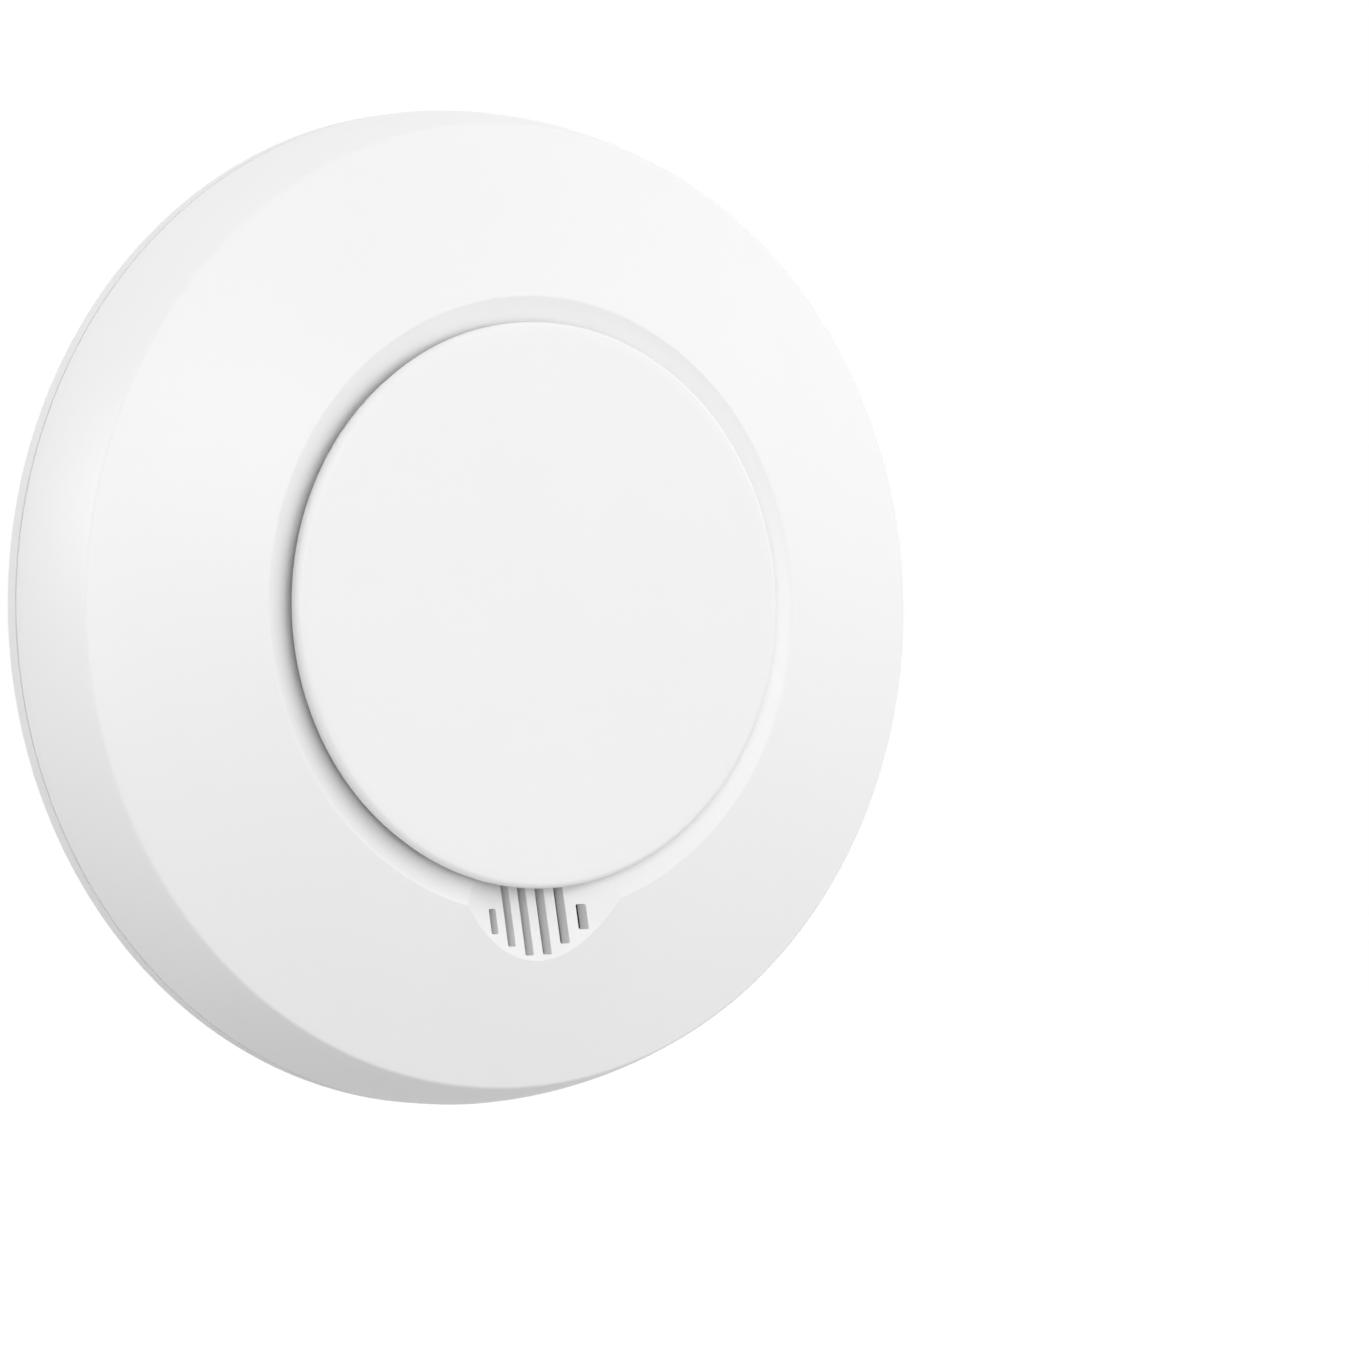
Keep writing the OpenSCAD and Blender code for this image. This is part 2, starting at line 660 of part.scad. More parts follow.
// Round circuit board, cut straight along the battery bay
module main_board() color("seagreen") on_wall() difference() {
    intersection() {
        drum(board_r, board_z, deck_z);
        block([-body_r, -body_r, 0], [body_r, board_cut_y, crease_z]);
    }
    for (a = joint_angles) at_polar(joint_screw_r, a) drum(joint_boss_r + 2 * slide_gap, 0, crease_z);
    for (a = board_screw_angles) at_polar(board_screw_r, a)
        drum(board_shank_r + slide_gap / 2, 0, crease_z);
}

module switch_body() color("black") on_wall() translate([guide_r, 0, 0]) difference() {
    on_board([switch_w, switch_w, switch_h]);
    drum(plunger_r + run_fit, plunger_top_z - plunger_l - button_travel - seat_gap, crease_z);
}

module switch_plunger() color("saddlebrown") on_wall()
    translate([guide_r, 0, 0]) drum(plunger_r, plunger_top_z - plunger_l, plunger_top_z);

// Black floor of the smoke chamber with the two optic holders
module chamber_base() color("darkslategray") on_wall() difference() {
    union() {
        drum(flange_r, deck_z, deck_z + flange_t);
        drum(chamber_r, deck_z, deck_z + chamber_floor_t);
        for (a = [emitter_angle, receiver_angle]) rotate([0, 0, a]) translate([optics_r, 0, 0])
            block([-lamp_l / 2, -lamp_l / 2, deck_z], [lamp_l / 2, lamp_l / 2, optics_z + lamp_l / 2]);
    }
    for (a = [emitter_angle, receiver_angle]) rotate([0, 0, a]) translate([optics_r, 0, optics_z])
        rod(optics_bore_r, -lamp_l, lamp_l);
}

// Black lid of the smoke chamber with its ring of slanted vanes
module chamber_lid() color("black") on_wall() {
    drum(chamber_r, chamber_top_z - chamber_lid_t, chamber_top_z);
    for (i = [0 : vane_count - 1]) rotate([0, 0, i * 360 / vane_count]) translate([vane_r, 0, 0])
        rotate([0, 0, vane_turn])
            block([-vane_l / 2, -vane_t / 2, deck_z + chamber_floor_t],
                [vane_l / 2, vane_t / 2, chamber_top_z - chamber_lid_t + fuse]);
}

// Steel insect screen round the chamber, a row of windows between two hoops
module insect_mesh() color("lightgray") on_wall() difference() {
    drum(flange_r, deck_z + flange_t, chamber_top_z - seat_gap);
    drum(flange_r - mesh_t, 0, button_top_z);
    for (i = [0 : window_count - 1]) rotate([0, 0, i * 360 / window_count])
        block([flange_r - cut, -window_w / 2, deck_z + flange_t + hoop_h],
            [flange_r + cut, window_w / 2, chamber_top_z - seat_gap - hoop_h]);
}

// Small lamp with a domed nose that looks towards the axis
module lamp(a) rotate([0, 0, a]) translate([optics_r, 0, optics_z]) {
    rod(lamp_r, lamp_r - lamp_l / 2, lamp_l / 2);
    translate([lamp_r - lamp_l / 2, 0, 0]) sphere(r = lamp_r);
}

module ir_emitter() color("plum") on_wall() lamp(emitter_angle);

module photodiode() color("indigo") on_wall() lamp(receiver_angle);

// Cup that holds the siren's sounding plate on a ledge
module siren_cup() color("ivory") on_wall() translate([0, siren_y, 0]) difference() {
    drum(siren_r, deck_z, siren_cap_z);
    drum(siren_r - siren_wall, deck_z + siren_seat_h, crease_z);
    drum(siren_r - siren_wall - siren_ledge, 0, crease_z);
}

module siren_cap() color("ivory") on_wall() translate([0, siren_y, 0]) difference() {
    drum(siren_r, siren_cap_z, siren_cap_z + siren_cap_t);
    drum(siren_mouth_r, 0, crease_z);
}

// Foam ring that seals the siren's cap against the grille
module siren_gasket() color("dimgray") on_wall()
    translate([0, siren_y, siren_cap_z + siren_cap_t]) difference() {
        drum(siren_r - siren_wall, 0, gasket_t);
        drum(siren_r - siren_wall - gasket_w, -cut, gasket_t + cut);
    }

module piezo_plate() color("goldenrod") on_wall() translate([0, siren_y, deck_z + siren_seat_h])
    drum(siren_r - siren_wall - run_fit, 0, piezo_t);

module piezo_ceramic() color("wheat") on_wall() translate([0, siren_y, deck_z + siren_seat_h])
    drum(ceramic_r, piezo_t, piezo_t + ceramic_t);

module radio_board() color("green") on_wall() translate(radio_at) on_board(radio_size);

module radio_shield() color("silver") on_wall()
    translate([radio_at[0], radio_at[1], radio_size[2]]) on_board(shield_size);

// Sprung wire antenna lying along the board, with a foot soldered to it
module antenna_coil() color("peru") on_wall()
    translate([antenna_at[0], antenna_at[1] + antenna_l / 2, deck_z + antenna_r + antenna_wire]) {
        rotate([90, 0, 0]) coil(antenna_r, antenna_r, antenna_wire, antenna_l, antenna_turns);
        translate([antenna_r, 0, 0]) drum(antenna_wire / 2, -antenna_r - antenna_wire, 0);
    }

module controller_chip() color("black") on_wall() at_polar(chip_r, chip_angle) on_board(chip_size);

module capacitors() color("midnightblue") on_wall()
    for (a = cap_angles) at_polar(cap_at_r, a) drum(cap_r, deck_z, deck_z + cap_h);

module boost_choke() color("dimgray") on_wall()
    at_polar(choke_at_r, choke_angle) drum(choke_r, deck_z, deck_z + choke_h);

module status_led() color("lime") on_wall() translate([-guide_r, 0, 0]) on_board([led_w, led_w, led_h]);

// Clear rod that carries the lamp's light up into the gap under the button
module light_pipe() color("aqua") on_wall() translate([-guide_r, 0, 0]) {
    drum(pipe_r, deck_z + led_h + seat_gap, groove_z + pipe_proud);
    drum(pipe_r + pipe_collar, groove_z, groove_z + pipe_collar);
}

// One cross-head screw pointing out of the wall, its head's back at z = 0
module screw(head_r, head_h, shank_r, shank_l) difference() {
    union() {
        cylinder(r = head_r, h = head_h);
        cylinder(r = shank_r, h = head_h + shank_l);
    }
    for (a = [0, 90]) rotate([0, 0, a])
        block([-drive_reach, -drive_w / 2, -cut], [drive_reach, drive_w / 2, drive_depth]);
}

module joint_screws() color("silver") on_wall() for (a = joint_angles) at_polar(joint_screw_r, a)
    translate([0, 0, head_z + joint_head_sink - joint_head_h])
        screw(joint_head_r, joint_head_h, joint_shank_r,
            board_z - head_z - joint_head_sink + joint_shank_l - seat_gap);

module board_screws_set() color("silver") on_wall()
    for (a = board_screw_angles) at_polar(board_screw_r, a)
        translate([0, 0, deck_z + board_head_h]) mirror([0, 0, 1])
            screw(board_head_r, board_head_h, board_shank_r, deck_z - floor_z);

mounting_bracket();
rear_housing();
front_cover();
test_button();
button_springs();
battery_door();
battery_cell_inner();
battery_cell_outer();
battery_bridge();
battery_positive();
battery_negative();
battery_springs();
main_board();
switch_body();
switch_plunger();
chamber_base();
chamber_lid();
insect_mesh();
ir_emitter();
photodiode();
siren_cup();
siren_cap();
siren_gasket();
piezo_plate();
piezo_ceramic();
radio_board();
radio_shield();
antenna_coil();
controller_chip();
capacitors();
boost_choke();
status_led();
light_pipe();
joint_screws();
board_screws_set();
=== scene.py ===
import math

import bmesh
import bpy
from mathutils import Matrix, Quaternion, Vector


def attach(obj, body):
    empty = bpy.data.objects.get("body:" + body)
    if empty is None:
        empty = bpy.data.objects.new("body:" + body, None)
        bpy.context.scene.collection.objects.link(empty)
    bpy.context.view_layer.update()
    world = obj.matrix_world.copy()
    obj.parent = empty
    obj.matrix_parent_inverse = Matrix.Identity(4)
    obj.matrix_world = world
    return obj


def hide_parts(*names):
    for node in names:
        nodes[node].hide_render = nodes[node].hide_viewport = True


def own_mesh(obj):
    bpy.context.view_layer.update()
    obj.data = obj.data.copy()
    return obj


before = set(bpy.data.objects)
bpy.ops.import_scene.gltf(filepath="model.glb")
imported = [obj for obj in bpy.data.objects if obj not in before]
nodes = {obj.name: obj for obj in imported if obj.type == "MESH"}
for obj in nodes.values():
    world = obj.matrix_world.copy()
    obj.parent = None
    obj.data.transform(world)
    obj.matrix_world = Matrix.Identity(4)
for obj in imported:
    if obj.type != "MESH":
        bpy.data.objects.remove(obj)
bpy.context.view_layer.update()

# Smoke alarm on its wall bracket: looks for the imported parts, in the same frame
scene = bpy.context.scene
scene.view_settings.view_transform = "Standard"

# Camera
# A long lens one metre away, level with the alarm and well round to its left,
# aimed beside it so that the alarm stands left of the middle of the picture.
LENS_MM, SENSOR_MM = 217.03, 36
CAMERA_PLACE = (-0.52563, -0.85072, 0.00018)
CAMERA_AIM = (0.02459, -0.01519, -0.00918)
CAMERA_ROLL = -1.7149
camera = bpy.data.objects.new("camera", bpy.data.cameras.new("camera"))
scene.collection.objects.link(camera)
scene.camera = camera
camera.data.sensor_width = SENSOR_MM
camera.data.lens = LENS_MM
camera.location = CAMERA_PLACE
aim = Vector(CAMERA_AIM) - camera.location
roll = Quaternion((0, 0, 1), math.radians(CAMERA_ROLL))
camera.rotation_euler = (aim.to_track_quat("-Z", "Y") @ roll).to_euler()

# Wall bracket
# A flat moulded ring with a crossbar, white ABS, screwed to the wall through two slots.
# Three hooks stand on pads inside the ring and catch the head when it is turned.

# Sizes are in millimetres with the alarm lying on its back: x right, y up, z out of the wall
MM = 0.001
RING_R, RING_IN_R, RING_T = 60, 54.8, 1.75
BAR_HALF = 8
SCREW_X, SLOT_HALF, SLOT_R, SLOT_CUT = 30, 1.9, 2.1, 6
HOOK_ANGLES = (18, 162, 270)
PAD_HALF_ANGLE, HOOK_HALF_ANGLE = 6, 3.5
HOOK_R = (47.9, 49.9, 51.5)
HOOK_Z = (4.0, 5.2)
# Solids that are joined reach this far into each other, and points this close are one
BITE = 0.4
TINY = 1e-5


def turned(outline, rounds=(), sweep=360, start=0, steps=256):
    """Turns an outline of (radius, height) points about the alarm's axis, some corners rounded."""
    bm = bmesh.new()
    points = [bm.verts.new((r, 0, z)) for r, z in outline]
    for a, b in zip(points, points[1:] + points[:1]):
        bm.edges.new((a, b))
    for corner, size in rounds:
        bmesh.ops.bevel(bm, geom=[points[corner]], offset=size, offset_type="OFFSET", affect="VERTICES",
                        segments=6, profile=0.5, material=-1)
    bmesh.ops.rotate(bm, verts=bm.verts, matrix=Matrix.Rotation(math.radians(start), 3, "Z"))
    bmesh.ops.spin(bm, geom=bm.verts[:] + bm.edges[:], cent=(0, 0, 0), axis=(0, 0, 1), dvec=(0, 0, 0),
                   angle=math.radians(sweep), steps=steps, use_merge=sweep == 360)
    bmesh.ops.remove_doubles(bm, verts=bm.verts, dist=TINY)
    bmesh.ops.delete(bm, geom=[e for e in bm.edges if e.is_wire], context="EDGES")
    bmesh.ops.holes_fill(bm, edges=[e for e in bm.edges if e.is_boundary], sides=0)
    bmesh.ops.recalc_face_normals(bm, faces=bm.faces)
    return bm


def block(bm, low, high, corner=0):
    """Adds a box between two corners, its upright edges rounded by corner."""
    size = [b - a for a, b in zip(low, high)]
    middle = [(a + b) / 2 for a, b in zip(low, high)]
    place = Matrix.Translation(middle) @ Matrix.Diagonal((*size, 1))
    made = bmesh.ops.create_cube(bm, size=1, matrix=place)["verts"]
    if corner:
        upright = [e for v in made for e in v.link_edges if v.co.z < e.other_vert(v).co.z - TINY]
        bmesh.ops.bevel(bm, geom=upright, offset=corner, offset_type="OFFSET", affect="EDGES",
                        segments=8, profile=0.5, material=-1)
    return bm


def carved(bm, operation, tool):
    """Joins a solid with another one, cuts it or trims it, and gives the result."""
    pair = []
    for solid in (bm, tool):
        mesh = bpy.data.meshes.new("carving")
        solid.to_mesh(mesh)
        solid.free()
        pair.append(bpy.data.objects.new("carving", mesh))
        scene.collection.objects.link(pair[-1])
    step = pair[0].modifiers.new("carve", "BOOLEAN")
    step.operation = operation
    step.object = pair[1]
    step.solver = "EXACT"
    result = bmesh.new()
    result.from_object(pair[0], bpy.context.evaluated_depsgraph_get())
    for thing in pair:
        bpy.data.meshes.remove(thing.data)
    return result


def soften(thing, width, limit):
    """Gives edges sharper than limit degrees the small round that a mould or a press leaves."""
    edge = thing.modifiers.new("edge", "BEVEL")
    edge.limit_method = "ANGLE"
    edge.angle_limit = math.radians(limit)
    edge.width = width * MM
    edge.segments = 2
    edge.harden_normals = True


def piece(name, bm, materials, body, slot, *replaced, sharp=20, edge=0):
    """Makes a modelled solid a piece of the alarm: from millimetres lying flat to metres on the wall."""
    bm.transform(Matrix.Rotation(math.radians(90), 4, "X") @ Matrix.Scale(MM, 4))
    mesh = bpy.data.meshes.new(name)
    bm.to_mesh(mesh)
    bm.free()
    mesh.shade_smooth()
    mesh.set_sharp_from_angle(angle=math.radians(sharp))
    for material in materials:
        mesh.materials.append(material)
    thing = bpy.data.objects.new(name, mesh)
    scene.collection.objects.link(thing)
    if edge:
        soften(thing, edge, limit=30)
    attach(thing, body)
    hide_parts(*replaced)
    return thing


def linear(hexa):
    """An sRGB hex colour as the linear colour that a shader takes."""
    parts = [int(hexa[i:i + 2], 16) / 255 for i in (0, 2, 4)]
    return tuple(c / 12.92 if c <= 0.04045 else ((c + 0.055) / 1.055) ** 2.4 for c in parts) + (1,)


def add(tree, kind, inputs=(), **settings):
    """Adds a node with its settings; an input is a value, or the output that is linked to it."""
    node = tree.nodes.new(kind)
    for name, value in settings.items():
        setattr(node, name, value)
    for socket, value in dict(inputs).items():
        if isinstance(value, bpy.types.NodeSocket):
            tree.links.new(value, node.inputs[socket])
        else:
            node.inputs[socket].default_value = value
    return node


# Where a Mix node has its two colours and the mixed one
MIX_A, MIX_B, MIX_OUT = 6, 7, 2


# The grain of a mould and the lines of a rolling mill are really 0.05 to 0.1 mm apart. That is too
# fine to show in the render, so it is drawn several times as coarse: grain_mm is the size as drawn.
def grained(name, light, dark, patch_mm, grain_mm, rough, bump_mm, stretch=(1, 1, 1), shader=()):
    """A solid material whose colour drifts over patches and whose gloss and relief follow a fine grain."""
    made = bpy.data.materials.new(name)
    made.use_nodes = True
    tree = made.node_tree
    tree.nodes.clear()
    place = add(tree, "ShaderNodeTexCoord").outputs["Object"]
    drawn = add(tree, "ShaderNodeMapping", {"Vector": place, "Scale": stretch}).outputs["Vector"]
    patch = add(tree, "ShaderNodeTexNoise", {"Vector": place, "Scale": 1 / (patch_mm * MM), "Detail": 3.0})
    grain = add(tree, "ShaderNodeTexNoise", {"Vector": drawn, "Scale": 1 / (grain_mm * MM), "Detail": 2.0})
    colour = add(tree, "ShaderNodeMix", {
        0: patch.outputs["Fac"], MIX_A: linear(dark), MIX_B: linear(light)}, data_type="RGBA")
    # Most of the noise lies between a quarter and three quarters
    gloss = add(tree, "ShaderNodeMapRange", {
        "Value": grain.outputs["Fac"], "From Min": 0.25, "From Max": 0.75,
        "To Min": rough[0], "To Max": rough[1]})
    relief = add(tree, "ShaderNodeBump", {
        "Height": grain.outputs["Fac"], "Distance": bump_mm * MM, "Strength": 1.0})
    surface = add(tree, "ShaderNodeBsdfPrincipled", {
        "Base Color": colour.outputs[MIX_OUT], "Roughness": gloss.outputs["Result"],
        "Normal": relief.outputs["Normal"], **dict(shader)})
    add(tree, "ShaderNodeOutputMaterial", {"Surface": surface.outputs["BSDF"]})
    return made


# White ABS from a plain mould: an even satin white, a little duller than the cover
bracket_white = grained("white_abs_bracket", "F6F6F6", "F2F2F2", patch_mm=14, grain_mm=0.4,
                        rough=(0.42, 0.52), bump_mm=0.002, shader={"IOR": 1.53})

bar = block(bmesh.new(), (-RING_IN_R - BITE, -BAR_HALF, 0), (RING_IN_R + BITE, BAR_HALF, RING_T))
slots = bmesh.new()
for side in (-1, 1):
    made = bmesh.ops.create_cone(slots, cap_ends=True, segments=50, radius1=SLOT_R, radius2=SLOT_R,
                                 depth=SLOT_CUT, matrix=Matrix.Translation((side * SCREW_X, 0, 0)))["verts"]
    for end in (-1, 1):
        half = [v for v in made if (v.co.x > side * SCREW_X) == (end > 0)]
        bmesh.ops.translate(slots, verts=half, vec=(end * SLOT_HALF, 0, 0))
bracket = turned([(RING_IN_R, 0), (RING_R, 0), (RING_R, RING_T), (RING_IN_R, RING_T)])
bracket = carved(bracket, "UNION", carved(bar, "DIFFERENCE", slots))
# A hook is a pad, a wall on it and a tongue that reaches inwards from the wall's top
for angle in HOOK_ANGLES:
    for r0, r1, half, z0, z1 in (
            (HOOK_R[0], RING_IN_R + BITE, PAD_HALF_ANGLE, 0, RING_T),
            (HOOK_R[1], HOOK_R[2], HOOK_HALF_ANGLE, RING_T - BITE, HOOK_Z[1]),
            (HOOK_R[0], HOOK_R[1] + BITE, HOOK_HALF_ANGLE, HOOK_Z[0], HOOK_Z[1])):
        part = turned([(r0, z0), (r1, z0), (r1, z1), (r0, z1)],
                      sweep=2 * half, start=angle - half, steps=10)
        bracket = carved(bracket, "UNION", part)
piece("wall_bracket", bracket, [bracket_white], "bracket", "white_bracket", "mounting_bracket", edge=0.15)

# Rear housing
# The moulded back of the head, white ABS: a floor with keyhole slots for the hooks, pockets over
# the wall screws, the walls of the battery bay, and stands and bosses for the screws.

# White ABS from an eroded mould: a bright satin white with a grain that only breaks up the gloss
shell_white = grained("white_abs_satin", "FBFBFB", "F9F9F9", patch_mm=18, grain_mm=0.35,
                      rough=(0.36, 0.46), bump_mm=0.001, shader={"IOR": 1.53})
WELD_M = 1e-6


def dressed(material, *names, edge=0):
    """Gives CAD nodes their material and, where a real edge would be broken, a small round."""
    for name in names:
        node = nodes[name]
        node.data.materials.clear()
        node.data.materials.append(material)
        if edge:
            join = node.modifiers.new("join", "WELD")
            join.merge_threshold = WELD_M
            soften(node, edge, limit=40)


dressed(shell_white, "rear_housing", edge=0.15)

# Battery contacts
# Pressed strips of nickel-plated steel pushed into the ends of the bay, two of them with a lead
# soldered to the circuit board, and two tapered coil springs for the cells' flat ends.

# Nickel-plated strip: a warm bright metal with fine rolling lines along its length
nickel = grained("nickel_plated_strip", "D9D5CC", "C9C5BC", patch_mm=6, grain_mm=0.25,
                 rough=(0.24, 0.4), bump_mm=0.003, stretch=(1, 1, 0.08), shader={"Metallic": 1.0})
dressed(nickel, "battery_bridge", "battery_positive", "battery_negative", edge=0.06)

CELL_Z, CELL_YS = 9.35, (31.2727, 41.9727)
SPRING_X, SPRING_L, SPRING_TURNS = 24.45, 4.0, 3.5
SPRING_R, SPRING_TIP_R, SPRING_WIRE = 3, 2, 0.6
WIRE_SIDES, TURN_STEPS = 12, 32


def coil(bm, place, r0, r1, wire, length, turns):
    """Adds a round wire wound about z from radius r0 to r1, turned and moved by place."""
    upright = Matrix.Translation((r0, 0, 0)) @ Matrix.Rotation(math.pi / 2, 4, "X")
    start = bmesh.ops.create_circle(bm, segments=WIRE_SIDES, radius=wire / 2, matrix=upright)["verts"]
    ring = start + list({e for v in start for e in v.link_edges})
    before = set(bm.verts) - set(start)
    steps = round(turns * TURN_STEPS)
    bmesh.ops.spin(bm, geom=ring, cent=(0, 0, 0), axis=(0, 0, 1), dvec=(0, 0, length / steps),
                   angle=2 * math.pi * turns, steps=steps)
    wound = [v for v in bm.verts if v not in before]
    for v in wound:
        v.co.xy *= 1 + (r1 / r0 - 1) * min(max(v.co.z / length, 0), 1)
    bmesh.ops.holes_fill(bm, edges=[e for e in bm.edges if e.is_boundary], sides=0)
    bmesh.ops.transform(bm, matrix=place, verts=wound)
    return bm


springs = bmesh.new()
for side, y in ((-1, CELL_YS[0]), (1, CELL_YS[1])):
    inwards = Matrix.Rotation(-side * math.pi / 2, 4, "Y")
    coil(springs, Matrix.Translation((side * SPRING_X, y, CELL_Z)) @ inwards,
         SPRING_R, SPRING_TIP_R, SPRING_WIRE, SPRING_L, SPRING_TURNS)
bmesh.ops.recalc_face_normals(springs, faces=springs.faces)
piece("cell_springs", springs, [nickel], "head", "nickel", "battery_springs", sharp=40)

# Battery cells
# Two cells of AAA size, steel cans in a plain shrunk sleeve that leaves the nub and the flat end bare.
# They lie nose to tail, held between the contacts and the door.
CELL_R, CELL_TIP, CELL_L, NUB_R = 5.25, 24.35, 44.5, 1.9
CELL_BASE = CELL_TIP - CELL_L
BAND_Z = (16, 20.4)
# The sleeve laps a little over both ends, and the bare metal inside the laps lies lower
BASE_LAP_R, TOP_LAP_R, BARE_R = 4.3, 4.2, 4.1
BARE_BASE, BARE_TOP, SHOULDER_Z = CELL_BASE + 0.25, 23.0, 23.35
CELL = [(0, BARE_BASE), (BARE_R, BARE_BASE), (BASE_LAP_R, CELL_BASE), (CELL_R, CELL_BASE),
        (CELL_R, BAND_Z[0]), (CELL_R, BAND_Z[1]), (CELL_R, SHOULDER_Z), (TOP_LAP_R, SHOULDER_Z),
        (BARE_R, BARE_TOP), (NUB_R, BARE_TOP), (NUB_R, CELL_TIP), (0, CELL_TIP)]
# The foot's, the shoulder's and the nub's corners in that outline, and their rounds
CELL_ROUNDS = [(3, 0.5), (6, 0.6), (10, 0.3)]

# Shrunk PVC film: smooth and slightly glossy, dark grey with a lighter band at the positive end
sleeve_dark = grained("pvc_sleeve_dark", "343538", "2B2C2F", patch_mm=9, grain_mm=0.8,
                      rough=(0.26, 0.34), bump_mm=0.004, shader={"IOR": 1.54})
sleeve_band = grained("pvc_sleeve_band", "C4C7CB", "B9BCC0", patch_mm=9, grain_mm=0.8,
                      rough=(0.26, 0.34), bump_mm=0.004, shader={"IOR": 1.54})
for name, side, y in (("inner", 1, CELL_YS[0]), ("outer", -1, CELL_YS[1])):
    cell = turned(CELL, CELL_ROUNDS, steps=96)
    for face in cell.faces:
        middle = face.calc_center_median()
        bare = middle.xy.length < BASE_LAP_R
        face.material_index = 2 if bare else int(BAND_Z[0] < middle.z < BAND_Z[1])
    cell.transform(Matrix.Translation((0, y, CELL_Z)) @ Matrix.Rotation(side * math.pi / 2, 4, "Y"))
    piece("cell_" + name, cell, [sleeve_dark, sleeve_band, nickel], "head", "cell_jacket",
          "battery_cell_" + name)

# Battery door
# A flat moulded flap of white ABS that closes the bay from behind. It turns on two pins moulded
# at the ends of its barrel, and has four finger grooves beside its free edge.
DOOR_X, DOOR_Y, DOOR_Z = 24, (26.3727, 47.3727), (2.0, 3.6)
HINGE_Z, BARREL_R, PIN_R, PIN_L = 3.0, 1.1, 0.8, 2
GRIPS, GRIP_PITCH, GRIP_W, GRIP_HALF, GRIP_DEPTH, GRIP_CORNER = 4, 1.6, 0.8, 6, 0.5, 0.3
door = block(bmesh.new(), (-DOOR_X, DOOR_Y[0], DOOR_Z[0]), (DOOR_X, DOOR_Y[1], DOOR_Z[1]))
axle = Matrix.Translation((0, DOOR_Y[0], HINGE_Z)) @ Matrix.Rotation(math.pi / 2, 4, "Y")
for radius, half in ((BARREL_R, DOOR_X), (PIN_R, DOOR_X + PIN_L)):
    barrel = bmesh.new()
    bmesh.ops.create_cone(barrel, cap_ends=True, segments=48, radius1=radius, radius2=radius,
                          depth=2 * half, matrix=axle)
    door = carved(door, "UNION", barrel)
grooves = bmesh.new()
for i in range(1, GRIPS + 1):
    y = DOOR_Y[1] - GRIP_PITCH * i
    block(grooves, (-GRIP_HALF, y - GRIP_W, 0), (GRIP_HALF, y, DOOR_Z[0] + GRIP_DEPTH), GRIP_CORNER)
door = carved(door, "DIFFERENCE", grooves)
piece("bay_door", door, [shell_white], "door", "white_shell", "battery_door", edge=0.15)

# Circuit board
# A round glass-epoxy board under green solder resist, screwed to the housing's stands, with a chip,
# two capacitors, a choke, a small radio board under a pressed shield, and a wound antenna.

# Solder resist: a glossy green film in which the copper tracks under it show as paler lines.
# The tracks run in bundles about 12 mm across, over or up the board, with bare board between them.
# The glass cloth's weave, really about 0.5 mm, is drawn at 0.8 mm, because it is too fine to show.
TRACK_W, TRACK_PITCH, TRACK_L, TRACK_RELIEF = 0.3, 1.1, 14.0, 0.03
BUNDLES_PER_MM, WEAVE_PER_MM = 0.085, 1.2
BARE_FROM, BARE_TO = 0.46, 0.54
board_green = bpy.data.materials.new("solder_resist_green")
board_green.use_nodes = True
tree = board_green.node_tree
tree.nodes.clear()
place = add(tree, "ShaderNodeTexCoord").outputs["Object"]
bundles = add(tree, "ShaderNodeTexNoise", {
    "Vector": place, "Scale": BUNDLES_PER_MM / MM, "Detail": 0.0}).outputs["Fac"]
across = add(tree, "ShaderNodeMath", {0: bundles, 1: BARE_TO}, operation="GREATER_THAN").outputs[0]
upwards = add(tree, "ShaderNodeMath", {0: bundles, 1: BARE_FROM}, operation="LESS_THAN").outputs[0]
copper_lines = []
for run, turn in ((across, 0), (upwards, math.pi / 2)):
    flat = add(tree, "ShaderNodeMapping", {"Vector": place, "Rotation": (math.pi / 2, 0, turn)})
    lines = add(tree, "ShaderNodeTexBrick", {
        "Vector": flat.outputs["Vector"], "Scale": 1 / MM, "Mortar Size": TRACK_W / 2,
        "Mortar Smooth": 0.1, "Brick Width": TRACK_L, "Row Height": TRACK_PITCH})
    shown = add(tree, "ShaderNodeMath", {0: run, 1: lines.outputs["Fac"]}, operation="MULTIPLY")
    copper_lines.append(shown.outputs[0])
track = add(tree, "ShaderNodeMath", dict(enumerate(copper_lines)), operation="MAXIMUM").outputs[0]
colour = add(tree, "ShaderNodeMix", {0: track, MIX_A: linear("1C6B3C"), MIX_B: linear("3E8F54")},
             data_type="RGBA")
relief = add(tree, "ShaderNodeBump", {"Height": track, "Distance": TRACK_RELIEF * MM, "Strength": 1.0})
weave = add(tree, "ShaderNodeTexNoise", {"Vector": place, "Scale": WEAVE_PER_MM / MM, "Detail": 2.0})
gloss = add(tree, "ShaderNodeMapRange", {"Value": weave.outputs["Fac"], "To Min": 0.22, "To Max": 0.36})
surface = add(tree, "ShaderNodeBsdfPrincipled", {
    "Base Color": colour.outputs[MIX_OUT], "Roughness": gloss.outputs["Result"],
    "Normal": relief.outputs["Normal"], "IOR": 1.5})
add(tree, "ShaderNodeOutputMaterial", {"Surface": surface.outputs["BSDF"]})
dressed(board_green, "main_board", "radio_board")

# Moulded epoxy: a dull black with a fine sandy grain
epoxy_black = grained("moulded_epoxy_black", "262627", "1F1F20", patch_mm=5, grain_mm=0.3,
                      rough=(0.5, 0.65), bump_mm=0.004, shader={"IOR": 1.55})
dressed(epoxy_black, "controller_chip", edge=0.12)
